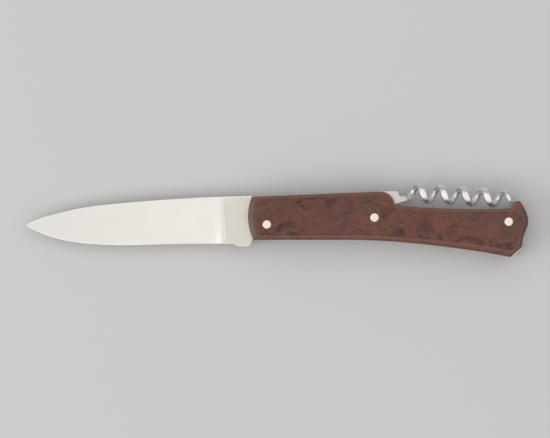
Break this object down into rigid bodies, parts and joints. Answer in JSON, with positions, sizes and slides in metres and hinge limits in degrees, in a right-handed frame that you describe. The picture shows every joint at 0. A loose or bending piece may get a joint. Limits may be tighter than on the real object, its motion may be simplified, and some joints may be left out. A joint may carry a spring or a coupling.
{
  "type": "corkscrew pocket knife",
  "caption": "Folding pocket knife with a spear-shaped blade, wooden scales and a right-handed corkscrew folded along the rear of its back; blade open, corkscrew shut.",
  "frame": {"origin": "centre of the bounding box in plan, on the lower scale's outer face, which the knife lies on", "axes": "+X from the blade's tip to the butt, +Y from the blade's edge to its back and the corkscrew, +Z through the handle's thickness, along every pin"},
  "size_m": [0.2183, 0.0328, 0.015],
  "materials": {
    "blade_steel": "satin, with a bright line along the edge",
    "corkscrew_steel": "polished bright",
    "spring_steel": "ground, satin",
    "liner_steel": "ground, satin",
    "handle_wood": "mottled red-brown burl, oiled and polished",
    "pin_nickel_silver": "nickel silver, peened and polished flush",
    "washer_bronze": "phosphor bronze sheet"
  },
  "bodies": {
    "handle": {"lower_scale": "handle_wood", "upper_scale": "handle_wood", "lower_liner": "liner_steel", "centre_liner": "liner_steel", "upper_liner": "liner_steel", "blade_spring": "spring_steel", "corkscrew_spring": "spring_steel", "front_spacer": "liner_steel", "blade_pivot_pin": "pin_nickel_silver", "corkscrew_pivot_pin": "pin_nickel_silver", "lower_middle_pin": "pin_nickel_silver", "rear_pin": "pin_nickel_silver", "spring_rivet": "liner_steel", "spacer_rivet": "liner_steel", "blade_washer_lower": "washer_bronze", "blade_washer_upper": "washer_bronze", "corkscrew_washer_lower": "washer_bronze", "corkscrew_washer_upper": "washer_bronze"},
    "blade": {"blade": "blade_steel"},
    "corkscrew": {"corkscrew": "corkscrew_steel"}
  },
  "joints": [
    {"name": "blade_fold", "type": "hinge", "parent": "handle", "child": "blade", "pos_m": [-0.00425, -0.0017, 0.0058], "axis": [0, 0, 1], "range_deg": [0, 172.88], "deforming": ["blade_spring"]},
    {"name": "corkscrew_fold", "type": "hinge", "parent": "handle", "child": "corkscrew", "pos_m": [0.04245, 0.0013, 0.0092], "axis": [0, 0, 1], "range_deg": [0, 93.59], "deforming": ["corkscrew_spring"]}
  ]
}
